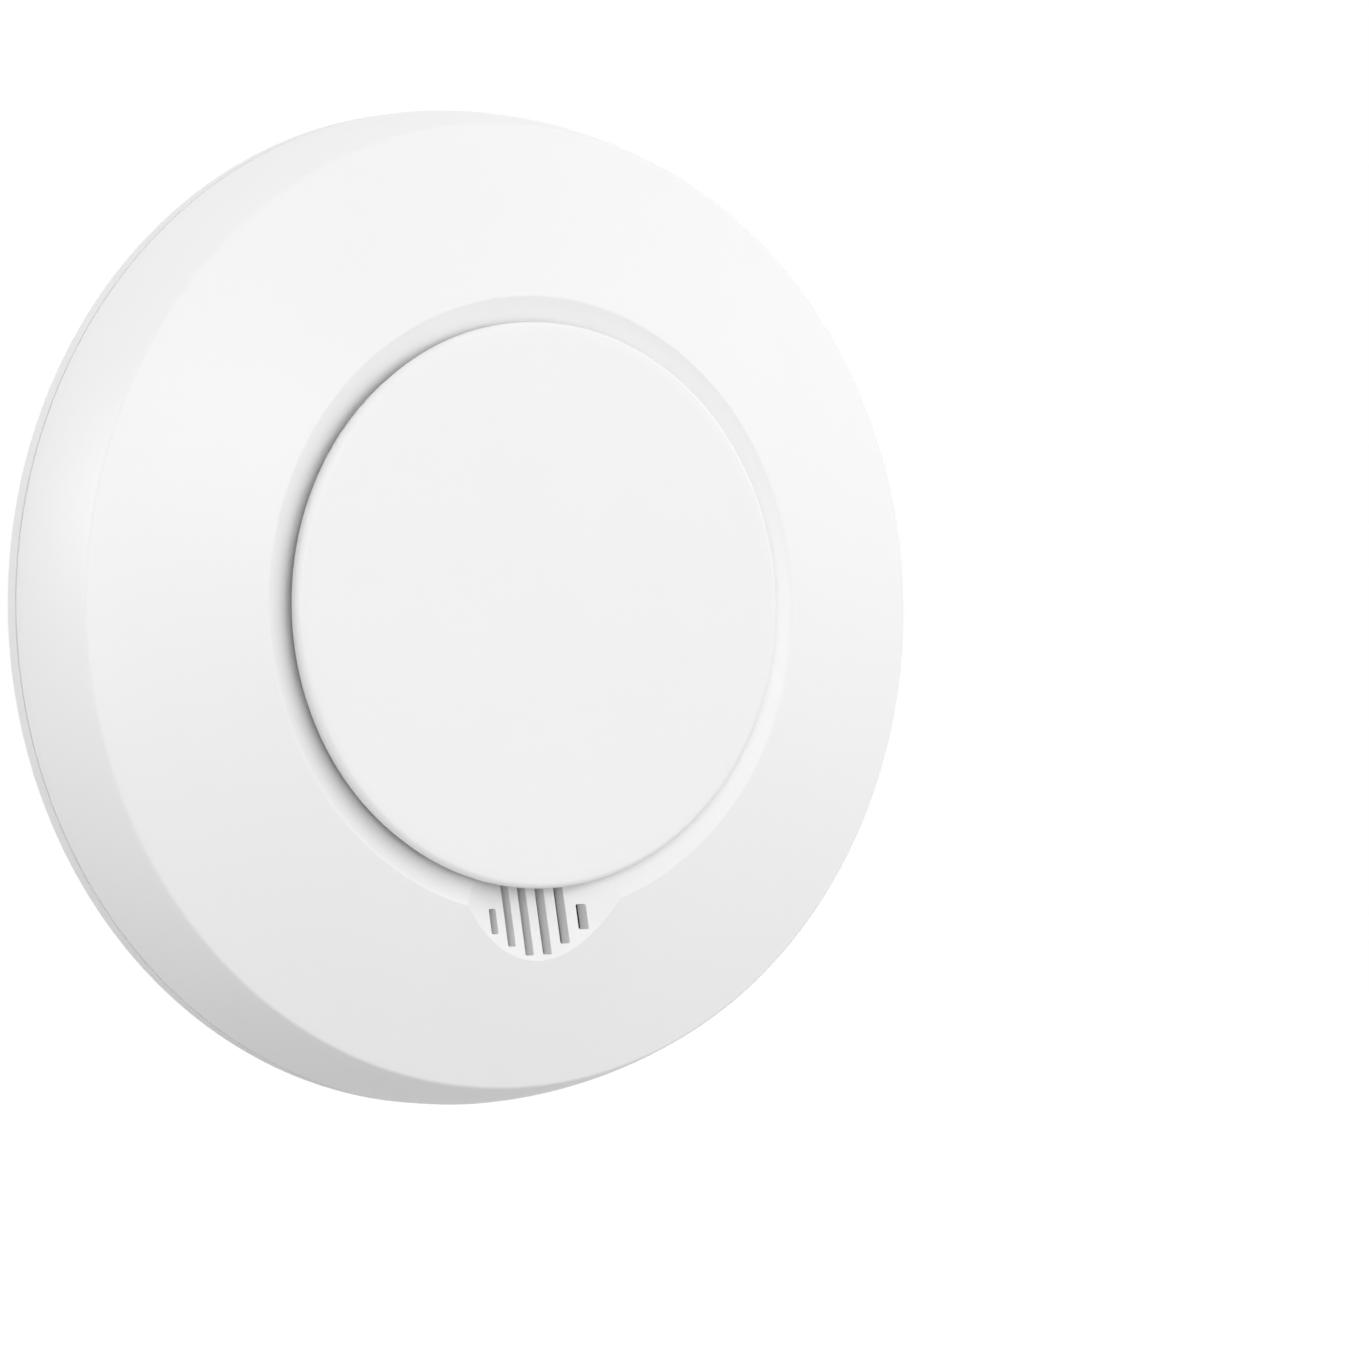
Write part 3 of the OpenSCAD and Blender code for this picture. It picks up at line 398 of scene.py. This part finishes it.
# Aluminium can in a shrunk film: a cool grey metal with turning lines round it
can_grey = grained("sleeved_aluminium_can", "BBBDC1", "A7A9AD", patch_mm=5, grain_mm=0.3,
                   rough=(0.28, 0.42), bump_mm=0.003, stretch=(1, 0.1, 1), shader={"Metallic": 0.85})
dressed(can_grey, "capacitors", edge=0.4)
# Sintered ferrite: a matt charcoal with a faint speckle
ferrite = grained("sintered_ferrite", "4A4A4E", "3B3B3F", patch_mm=2, grain_mm=0.2,
                  rough=(0.6, 0.75), bump_mm=0.006, shader={"IOR": 1.6})
dressed(ferrite, "boost_choke", edge=0.3)
# Tinned sheet steel: a soft bright metal, the tin's flow as faint clouds
tinned_steel = grained("tinned_sheet_steel", "CFCFCD", "BCBCBA", patch_mm=4, grain_mm=0.5,
                       rough=(0.26, 0.42), bump_mm=0.003, shader={"Metallic": 1.0})
dressed(tinned_steel, "radio_shield", edge=0.2)
# Enamelled copper wire: brown-red metal under a clear varnish
copper = grained("enamelled_copper_wire", "C27A4B", "AE6638", patch_mm=3, grain_mm=0.3,
                 rough=(0.22, 0.34), bump_mm=0.002,
                 shader={"Metallic": 1.0, "Coat Weight": 0.4, "Coat Roughness": 0.15})
dressed(copper, "antenna_coil")
# Zinc-plated steel: a pale bluish metal, slightly clouded
zinc_steel = grained("zinc_plated_steel", "C6C9CC", "B2B5B9", patch_mm=2, grain_mm=0.3,
                     rough=(0.28, 0.42), bump_mm=0.004, shader={"Metallic": 1.0})
dressed(zinc_steel, "board_screws_set", edge=0.12)

# Test switch and status lamp
# A small push switch with a black body and a brown plunger under the button's fifth post,
# and on the other side a lamp whose light a clear rod carries up into the gap.

# Phenolic: a brown moulding, slightly glossy with a fine mottle
phenolic = grained("phenolic_brown", "6B4326", "5C3820", patch_mm=2, grain_mm=0.3,
                   rough=(0.34, 0.46), bump_mm=0.003, shader={"IOR": 1.6})
dressed(epoxy_black, "switch_body", edge=0.12)
dressed(phenolic, "switch_plunger", edge=0.15)
# Clear acrylic: a colourless moulding with a polished skin
acrylic = grained("clear_acrylic", "FFFFFF", "F7FAFC", patch_mm=4, grain_mm=0.6,
                  rough=(0.04, 0.09), bump_mm=0.001, shader={"IOR": 1.49, "Transmission Weight": 1.0})
dressed(acrylic, "light_pipe", "status_led", edge=0.1)

# Smoke chamber
# A black base and a lid with slanted vanes keep light out of the chamber and let smoke in through
# an etched steel screen. The infrared emitter and the photodiode lie in the base's holders.

# Black ABS with a dull grain that swallows stray light
optics_black = grained("black_abs_dull", "1D1D1E", "161617", patch_mm=8, grain_mm=0.25,
                       rough=(0.62, 0.78), bump_mm=0.006, shader={"IOR": 1.53})
dressed(optics_black, "chamber_base", "chamber_lid", edge=0.1)
# Stainless sheet: a grey metal with fine rolling lines round the screen
stainless = grained("etched_stainless_sheet", "BDBDBB", "A9A9A7", patch_mm=5, grain_mm=0.3,
                    rough=(0.3, 0.45), bump_mm=0.003, stretch=(1, 0.1, 1), shader={"Metallic": 1.0})
dressed(stainless, "insect_mesh")
# Water-clear epoxy lens with a faint violet cast
lens_clear = grained("clear_epoxy_lens", "F4F1FA", "E9E5F2", patch_mm=3, grain_mm=0.5,
                     rough=(0.05, 0.1), bump_mm=0.001, shader={"IOR": 1.54, "Transmission Weight": 0.9})
dressed(lens_clear, "ir_emitter")
# Dark epoxy lens that passes only infrared: a glossy violet-black
lens_dark = grained("dark_epoxy_lens", "221A2B", "1A1422", patch_mm=3, grain_mm=0.5,
                    rough=(0.06, 0.12), bump_mm=0.001, shader={"IOR": 1.54})
dressed(lens_dark, "photodiode")

# Siren
# An ivory cup holds a brass sounding plate with a ceramic disc on its ledge. The cap's mouth looks
# out through the grille, and a foam ring seals the cap against the grille's underside.

# Ivory ABS: a warm off-white moulding
ivory = grained("ivory_abs", "E6E0CC", "DED8C3", patch_mm=8, grain_mm=0.35,
                rough=(0.4, 0.52), bump_mm=0.002, shader={"IOR": 1.53})
dressed(ivory, "siren_cup", "siren_cap", edge=0.15)
# Closed-cell foam: a matt charcoal with cells about half a millimetre across, at their real size
foam = grained("closed_cell_foam", "48484A", "353537", patch_mm=1.2, grain_mm=0.5,
               rough=(0.8, 0.95), bump_mm=0.06, shader={"IOR": 1.45})
dressed(foam, "siren_gasket")
# Rolled brass: a yellow metal with straight rolling lines
brass = grained("rolled_brass", "D9B45E", "C8A24D", patch_mm=6, grain_mm=0.25,
                rough=(0.24, 0.38), bump_mm=0.003, stretch=(0.06, 1, 1), shader={"Metallic": 1.0})
dressed(brass, "piezo_plate")
# Silvered ceramic: a pale matt coat of fired silver paste
ceramic = grained("silvered_ceramic", "DAD2BE", "CCC4B0", patch_mm=3, grain_mm=0.2,
                  rough=(0.45, 0.6), bump_mm=0.003, shader={"Metallic": 0.3})
dressed(ceramic, "piezo_ceramic")

# Front cover
# One moulding of white ABS: lip, swelled side wall, crease, shallow conical face and ring groove,
# with a shallow trough scooped out below the button whose floor has the six sound slots.
# Inside it are sleeves for the button's posts, bosses for the joint screws and the siren's collar.
MOUTH_R, GROOVE_R, GROOVE_Z, SHELL_T = 25, 32.2, 17, 1.8
CREASE_R, CREASE_Z = 57.7, 14.7
SIDE_OUT, SIDE_SWELL, SIDE_DROP, SIDE_STEPS = 2.3, 1.4, 11.2, 12
# The outline runs out along the groove to the face's inner edge, down the side from the crease,
# and back under the lip along the inside of the wall
GROOVE = [(MOUTH_R, GROOVE_Z), (GROOVE_R, GROOVE_Z), (GROOVE_R, 18.464), (36.85, 20.9)]
SIDE = [(CREASE_R + SIDE_OUT * t + SIDE_SWELL * t * (1 - t), CREASE_Z - SIDE_DROP * t)
        for t in (k / SIDE_STEPS for k in range(SIDE_STEPS + 1))]
INSIDE = [(RING_R, 2), (58.2, 2), (58.2, 3.5), (56.1936, 13.2701), (37.04, 18.967), (34, 17.375),
          (34, GROOVE_Z - SHELL_T), (MOUTH_R, GROOVE_Z - SHELL_T)]
# Corners of that outline and their rounds: the face's inner edge and the crease, and the lip's foot
FACE_ROUNDS, LIP_ROUNDS = [(3, 0.18), (4, 0.3)], [(17, 0.15)]
SCOOP_Y, SCOOP_Z, SCOOP_TILT, SCOOP_R = -42.4, 19.25, 11.2, 21
SCOOP_L, SCOOP_SHIFT = 13.4, 4.7
PAN_HALF, PAN_NEAR = 12.7, -33
COLLAR_R, COLLAR_Y, COLLAR_Z = (10.5, 12.3), -38, 14.6
SLOTS = ((1.25, 32.6, 41.7), (3.75, 32.6, 40.5), (6.25, 35.9, 38.9))
SLOT_HALF_W, SLOT_CORNER = 0.6, 0.2
GUIDE_R, GUIDE_ANGLES, POST_R = 29, (20, 160, 200, 340), 1.5
PRESS_ANGLE, PIPE_ANGLE = 0, 180
SLEEVE_T, SLEEVE_Z, POST_PLAY, PRESS_PLAY = 1, 12.7, 0.05, 0.3
JOINT_R, JOINT_ANGLES = 50, (50.132, 129.868, 230.132, 309.868)
BOSS_R, BOSS_Z = 3.2, (6.15, 15.9)
PILOT_R, PILOT_Z = 1.3, (4, 14.15)
# Heights clear above the cover, and clear below its scoop, its sleeves and its groove, for cutters
ABOVE, BELOW_SCOOP, BELOW_SLEEVES, BELOW_GROOVE = 24, 7, 10, 12


def trough(grown, sides=()):
    """The round bar whose lower side is the scoop's floor, grown by a wall and cut off at flat sides."""
    bm = bmesh.new()
    bmesh.ops.create_cone(bm, cap_ends=True, segments=512, radius1=SCOOP_R + grown, radius2=SCOOP_R + grown,
                          depth=SCOOP_L)
    bm.transform(Matrix.Translation((0, SCOOP_Y, SCOOP_Z))
                 @ Matrix.Rotation(math.radians(-90 - SCOOP_TILT), 4, "X")
                 @ Matrix.Translation((0, -SCOOP_R, SCOOP_SHIFT)))
    for point, outwards in sides:
        geom = bm.verts[:] + bm.edges[:] + bm.faces[:]
        bmesh.ops.bisect_plane(bm, geom=geom, plane_co=point, plane_no=outwards, clear_outer=True)
        bmesh.ops.holes_fill(bm, edges=[e for e in bm.edges if e.is_boundary], sides=0)
        bmesh.ops.recalc_face_normals(bm, faces=bm.faces)
    return bm


def drum(bm, radius, angle, at_r, z0, z1, tip=None):
    """Adds a round bar that stands at an angle and distance from the alarm's axis."""
    a = math.radians(angle)
    place = Matrix.Translation((at_r * math.cos(a), at_r * math.sin(a), (z0 + z1) / 2))
    bmesh.ops.create_cone(bm, cap_ends=True, segments=48, radius1=radius, radius2=tip or radius,
                          depth=z1 - z0, matrix=place)
    return bm


cover = turned(GROOVE + SIDE + INSIDE, FACE_ROUNDS + LIP_ROUNDS)
# The cover's outside as a full solid, let down a little, trims what stands inside the cover
under = turned(GROOVE + SIDE + [(RING_R, 0), (0, 0), (0, GROOVE_Z)], FACE_ROUNDS)
bmesh.ops.translate(under, verts=under.verts, vec=(0, 0, -BITE))
pan = trough(SHELL_T, [((-PAN_HALF, 0, 0), (-1, 0, 0)), ((PAN_HALF, 0, 0), (1, 0, 0)),
                       ((0, SCOOP_Y - SHELL_T, 0), (0, -1, 0)), ((0, PAN_NEAR, 0), (0, 1, 0))])
collar = turned([(COLLAR_R[0], COLLAR_Z), (COLLAR_R[1], COLLAR_Z), (COLLAR_R[1], ABOVE),
                 (COLLAR_R[0], ABOVE)], steps=96)
bmesh.ops.translate(collar, verts=collar.verts, vec=(0, COLLAR_Y, 0))
collar = carved(collar, "INTERSECT", under.copy())
cover = carved(carved(cover, "UNION", carved(pan, "INTERSECT", under)), "UNION", collar)
stems = bmesh.new()
for angle in GUIDE_ANGLES:
    drum(stems, POST_R + SLEEVE_T, angle, GUIDE_R, SLEEVE_Z, GROOVE_Z - BITE)
for angle in JOINT_ANGLES:
    drum(stems, BOSS_R, angle, JOINT_R, *BOSS_Z)
cover = carved(cover, "UNION", stems)
cover = carved(cover, "DIFFERENCE", trough(0))
holes = bmesh.new()
for x, near, far in SLOTS:
    for side in (-1, 1):
        block(holes, (side * x - SLOT_HALF_W, -far, BELOW_SCOOP), (side * x + SLOT_HALF_W, -near, ABOVE),
              SLOT_CORNER)
for angle in GUIDE_ANGLES:
    drum(holes, POST_R + POST_PLAY, angle, GUIDE_R, BELOW_SLEEVES, ABOVE)
drum(holes, POST_R + PRESS_PLAY, PRESS_ANGLE, GUIDE_R, BELOW_GROOVE, ABOVE)
drum(holes, POST_R + POST_PLAY, PIPE_ANGLE, GUIDE_R, BELOW_GROOVE, ABOVE)
for angle in JOINT_ANGLES:
    drum(holes, PILOT_R, angle, JOINT_R, *PILOT_Z)
cover = carved(cover, "DIFFERENCE", holes)
piece("cover", cover, [shell_white], "head", "white_shell", "front_cover", sharp=12)

# Joint screws
# Four zinc-plated screws with round heads and a cross recess, driven from behind through the
# housing into the cover's bosses; their heads sit sunk in the housing's floor.
HEAD_R, HEAD_Z, HEAD_ROUND = 2.7, (2.3, 4.0), 0.5
SHANK_R, SHANK_END, SCREW_TIP = 1.25, 13.4, 14.0
RECESS_HALF_L, RECESS_HALF_W, RECESS_Z = 1.5, 0.3, (1, 3.2)
screw = turned([(0, HEAD_Z[0]), (HEAD_R, HEAD_Z[0]), (HEAD_R, HEAD_Z[1]), (SHANK_R, HEAD_Z[1]),
                (SHANK_R, SHANK_END), (0, SCREW_TIP)], [(1, HEAD_ROUND)], steps=48)
for x, y in ((RECESS_HALF_L, RECESS_HALF_W), (RECESS_HALF_W, RECESS_HALF_L)):
    arm = block(bmesh.new(), (-x, -y, RECESS_Z[0]), (x, y, RECESS_Z[1]))
    screw = carved(screw, "DIFFERENCE", arm)
one = bpy.data.meshes.new("screw")
screw.transform(Matrix.Translation((JOINT_R, 0, 0)))
screw.to_mesh(one)
screw.clear()
for angle in JOINT_ANGLES:
    before = len(screw.verts)
    screw.from_mesh(one)
    bmesh.ops.rotate(screw, verts=screw.verts[before:], matrix=Matrix.Rotation(math.radians(angle), 3, "Z"))
piece("cover_screws", screw, [zinc_steel], "head", "steel", "joint_screws", sharp=35)

# Button springs
# Four small coils of drawn spring wire round the button's posts, between the groove's floor and
# the button's underside, that push the button back up after a test.

# Drawn spring steel: a darker grey metal, smooth along the wire
spring_steel = grained("drawn_spring_steel", "B8B8BA", "A4A4A7", patch_mm=2, grain_mm=0.3,
                       rough=(0.25, 0.38), bump_mm=0.002, shader={"Metallic": 1.0})
BUTTON_UNDER, TRAVEL = 21.2, 0.6
RETURN_R, RETURN_WIRE, RETURN_TURNS = 2.0, 0.4, 3
coils = bmesh.new()
for angle in GUIDE_ANGLES:
    a = math.radians(angle)
    foot = (GUIDE_R * math.cos(a), GUIDE_R * math.sin(a), GROOVE_Z + RETURN_WIRE / 2)
    coil(coils, Matrix.Translation(foot), RETURN_R, RETURN_R, RETURN_WIRE,
         BUTTON_UNDER - GROOVE_Z - RETURN_WIRE, RETURN_TURNS)
bmesh.ops.recalc_face_normals(coils, faces=coils.faces)
returns = piece("return_springs", coils, [spring_steel], "head", "spring_steel", "button_springs",
                sharp=40)
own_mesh(returns)

# Test button
# A floating disc of white ABS with a slight crown, a rounded edge and a skirt drawn in below it,
# on four split posts that snap into the cover's sleeves; a fifth post presses the switch.
EDGE_Z, EDGE_T, EDGE_ROUND, BUTTON_R, CROWN_RISE = 22.4, 1, 0.7, 33.7, 0.6
SKIRT_R, SKIRT_IN_R, SKIRT_Z = 33.25, 32.35, 20
POST_Z, PRESS_Z = 12.6, 12.15
BARB_Z, BARB_LEAD, BARB_CATCH = (11.25, 12.65), 0.4, 0.35
SPLIT_HALF, SPLIT_REACH, SPLIT_Z = 0.4, 3, (10, 14.2)
CROWN = [(r, EDGE_Z + CROWN_RISE * (1 - (r / BUTTON_R) ** 2)) for r in range(0, 33, 4)]
button = turned(CROWN + [(BUTTON_R, EDGE_Z), (BUTTON_R, EDGE_Z - EDGE_T), (SKIRT_R, SKIRT_Z),
                         (SKIRT_IN_R, SKIRT_Z), (SKIRT_IN_R, BUTTON_UNDER), (0, BUTTON_UNDER)],
                [(len(CROWN), EDGE_ROUND)])
posts = bmesh.new()
for angle in GUIDE_ANGLES:
    drum(posts, POST_R, angle, GUIDE_R, POST_Z, BUTTON_UNDER + BITE)
drum(posts, POST_R, PRESS_ANGLE, GUIDE_R, PRESS_Z, BUTTON_UNDER + BITE)
button = carved(button, "UNION", posts)
barbs = bmesh.new()
splits = bmesh.new()
for angle in GUIDE_ANGLES:
    drum(barbs, POST_R - BARB_LEAD, angle, GUIDE_R, *BARB_Z, tip=POST_R + BARB_CATCH)
    a = math.radians(angle)
    x, y = GUIDE_R * math.cos(a), GUIDE_R * math.sin(a)
    block(splits, (x - SPLIT_HALF, y - SPLIT_REACH, SPLIT_Z[0]),
          (x + SPLIT_HALF, y + SPLIT_REACH, SPLIT_Z[1]))
button = carved(carved(button, "UNION", barbs), "DIFFERENCE", splits)
piece("button_disc", button, [shell_white], "button", "white_shell", "test_button")

# Studio
# A pale painted floor well below the alarm, and a soft white tent round it that is brighter to the
# right, as beside a window. Round soft boxes stand beside the camera, behind the alarm's left side,
# on its right and high in front; the last is only for the soft gleam on the face's upper left.
FLOOR_R, FLOOR_Z = 2.0, -0.15
floor_mesh = bmesh.new()
bmesh.ops.create_circle(floor_mesh, cap_ends=True, segments=96, radius=FLOOR_R,
                        matrix=Matrix.Translation((0, 0, FLOOR_Z)))
floor = bpy.data.objects.new("floor", bpy.data.meshes.new("floor"))
floor_mesh.to_mesh(floor.data)
floor_mesh.free()
scene.collection.objects.link(floor)


def seen_rays(tree):
    """Gives 1 where the camera sees a surface, also in a gloss or through glass, and otherwise 0."""
    rays = add(tree, "ShaderNodeLightPath").outputs
    seen = add(tree, "ShaderNodeMath", {0: rays["Is Camera Ray"], 1: rays["Is Glossy Ray"]},
               operation="MAXIMUM").outputs[0]
    return add(tree, "ShaderNodeMath", {0: seen, 1: rays["Is Transmission Ray"]},
               operation="MAXIMUM").outputs[0]


# Painted board: where it is seen a little glow, more of it farther from the lamps, takes the paint up
# to white, so that only the alarm's shadow shows on it, and what it throws back at the alarm is greyer
GLOW_FROM, GLOW_TO = 0.15, 0.8
GLOW_NEAR, GLOW_FAR = 0.05, 0.33
floor_paint = bpy.data.materials.new("painted_board")
floor_paint.use_nodes = True
tree = floor_paint.node_tree
tree.nodes.clear()
paint = add(tree, "ShaderNodeBsdfDiffuse", {"Color": linear("F6F6F6")})
dull = add(tree, "ShaderNodeBsdfDiffuse", {"Color": linear("B6B6B6")})
place = add(tree, "ShaderNodeTexCoord").outputs["Object"]
away = add(tree, "ShaderNodeVectorMath", {0: place}, operation="LENGTH")
lift = add(tree, "ShaderNodeMapRange", {
    "Value": away.outputs["Value"], "From Min": GLOW_FROM, "From Max": GLOW_TO,
    "To Min": GLOW_NEAR, "To Max": GLOW_FAR})
glow = add(tree, "ShaderNodeEmission", {"Color": (1, 1, 1, 1), "Strength": lift.outputs["Result"]})
lifted = add(tree, "ShaderNodeAddShader", {0: paint.outputs[0], 1: glow.outputs[0]})
mixed = add(tree, "ShaderNodeMixShader", {0: seen_rays(tree), 1: dull.outputs[0], 2: lifted.outputs[0]})
add(tree, "ShaderNodeOutputMaterial", {"Surface": mixed.outputs[0]})
floor.data.materials.append(floor_paint)

# White cloth: it lights the alarm by these levels, and what is seen of it is plain white
TENT_LEVEL, TENT_SLOPE = 0.78, (0.68, 0, 0)
tent = bpy.data.worlds.new("light_tent")
scene.world = tent
tent.use_nodes = True
tree = tent.node_tree
tree.nodes.clear()
way = add(tree, "ShaderNodeTexCoord").outputs["Generated"]
slope = add(tree, "ShaderNodeVectorMath", {0: way, 1: TENT_SLOPE}, operation="DOT_PRODUCT")
level = add(tree, "ShaderNodeMath", {0: slope.outputs["Value"], 1: TENT_LEVEL}, operation="ADD",
            use_clamp=True)
strength = add(tree, "ShaderNodeMix", {0: seen_rays(tree), 2: level.outputs[0], 3: 1.0}, data_type="FLOAT")
sky = add(tree, "ShaderNodeBackground", {"Color": (1, 1, 1, 1), "Strength": strength.outputs[0]})
add(tree, "ShaderNodeOutputWorld", {"Surface": sky.outputs[0]})

# Each soft box: degrees round from the front and up, metres across, and watts
LAMP_AWAY = 1.5
for name, around, height, wide, watts in (
        ("beside_camera", -31.7, 0, 0.9, 9.2),
        ("left_behind", -108, 20, 0.9, 6.8),
        ("right_in_front", 40, 12, 0.9, 1.7),
        ("right", 80, 10, 0.9, 1.7),
        ("high_in_front", 1.25, 16.3, 0.35, 3.0)):
    lamp = bpy.data.objects.new(name, bpy.data.lights.new(name, "AREA"))
    scene.collection.objects.link(lamp)
    lamp.data.shape = "DISK"
    lamp.data.size = wide
    lamp.data.energy = watts
    a, b = math.radians(around), math.radians(height)
    lamp.location = Vector((math.sin(a) * math.cos(b), -math.cos(a) * math.cos(b), math.sin(b))) * LAMP_AWAY
    lamp.rotation_euler = lamp.location.to_track_quat("Z", "Y").to_euler()
    lamp.visible_camera = False
    lamp.visible_diffuse = name != "high_in_front"
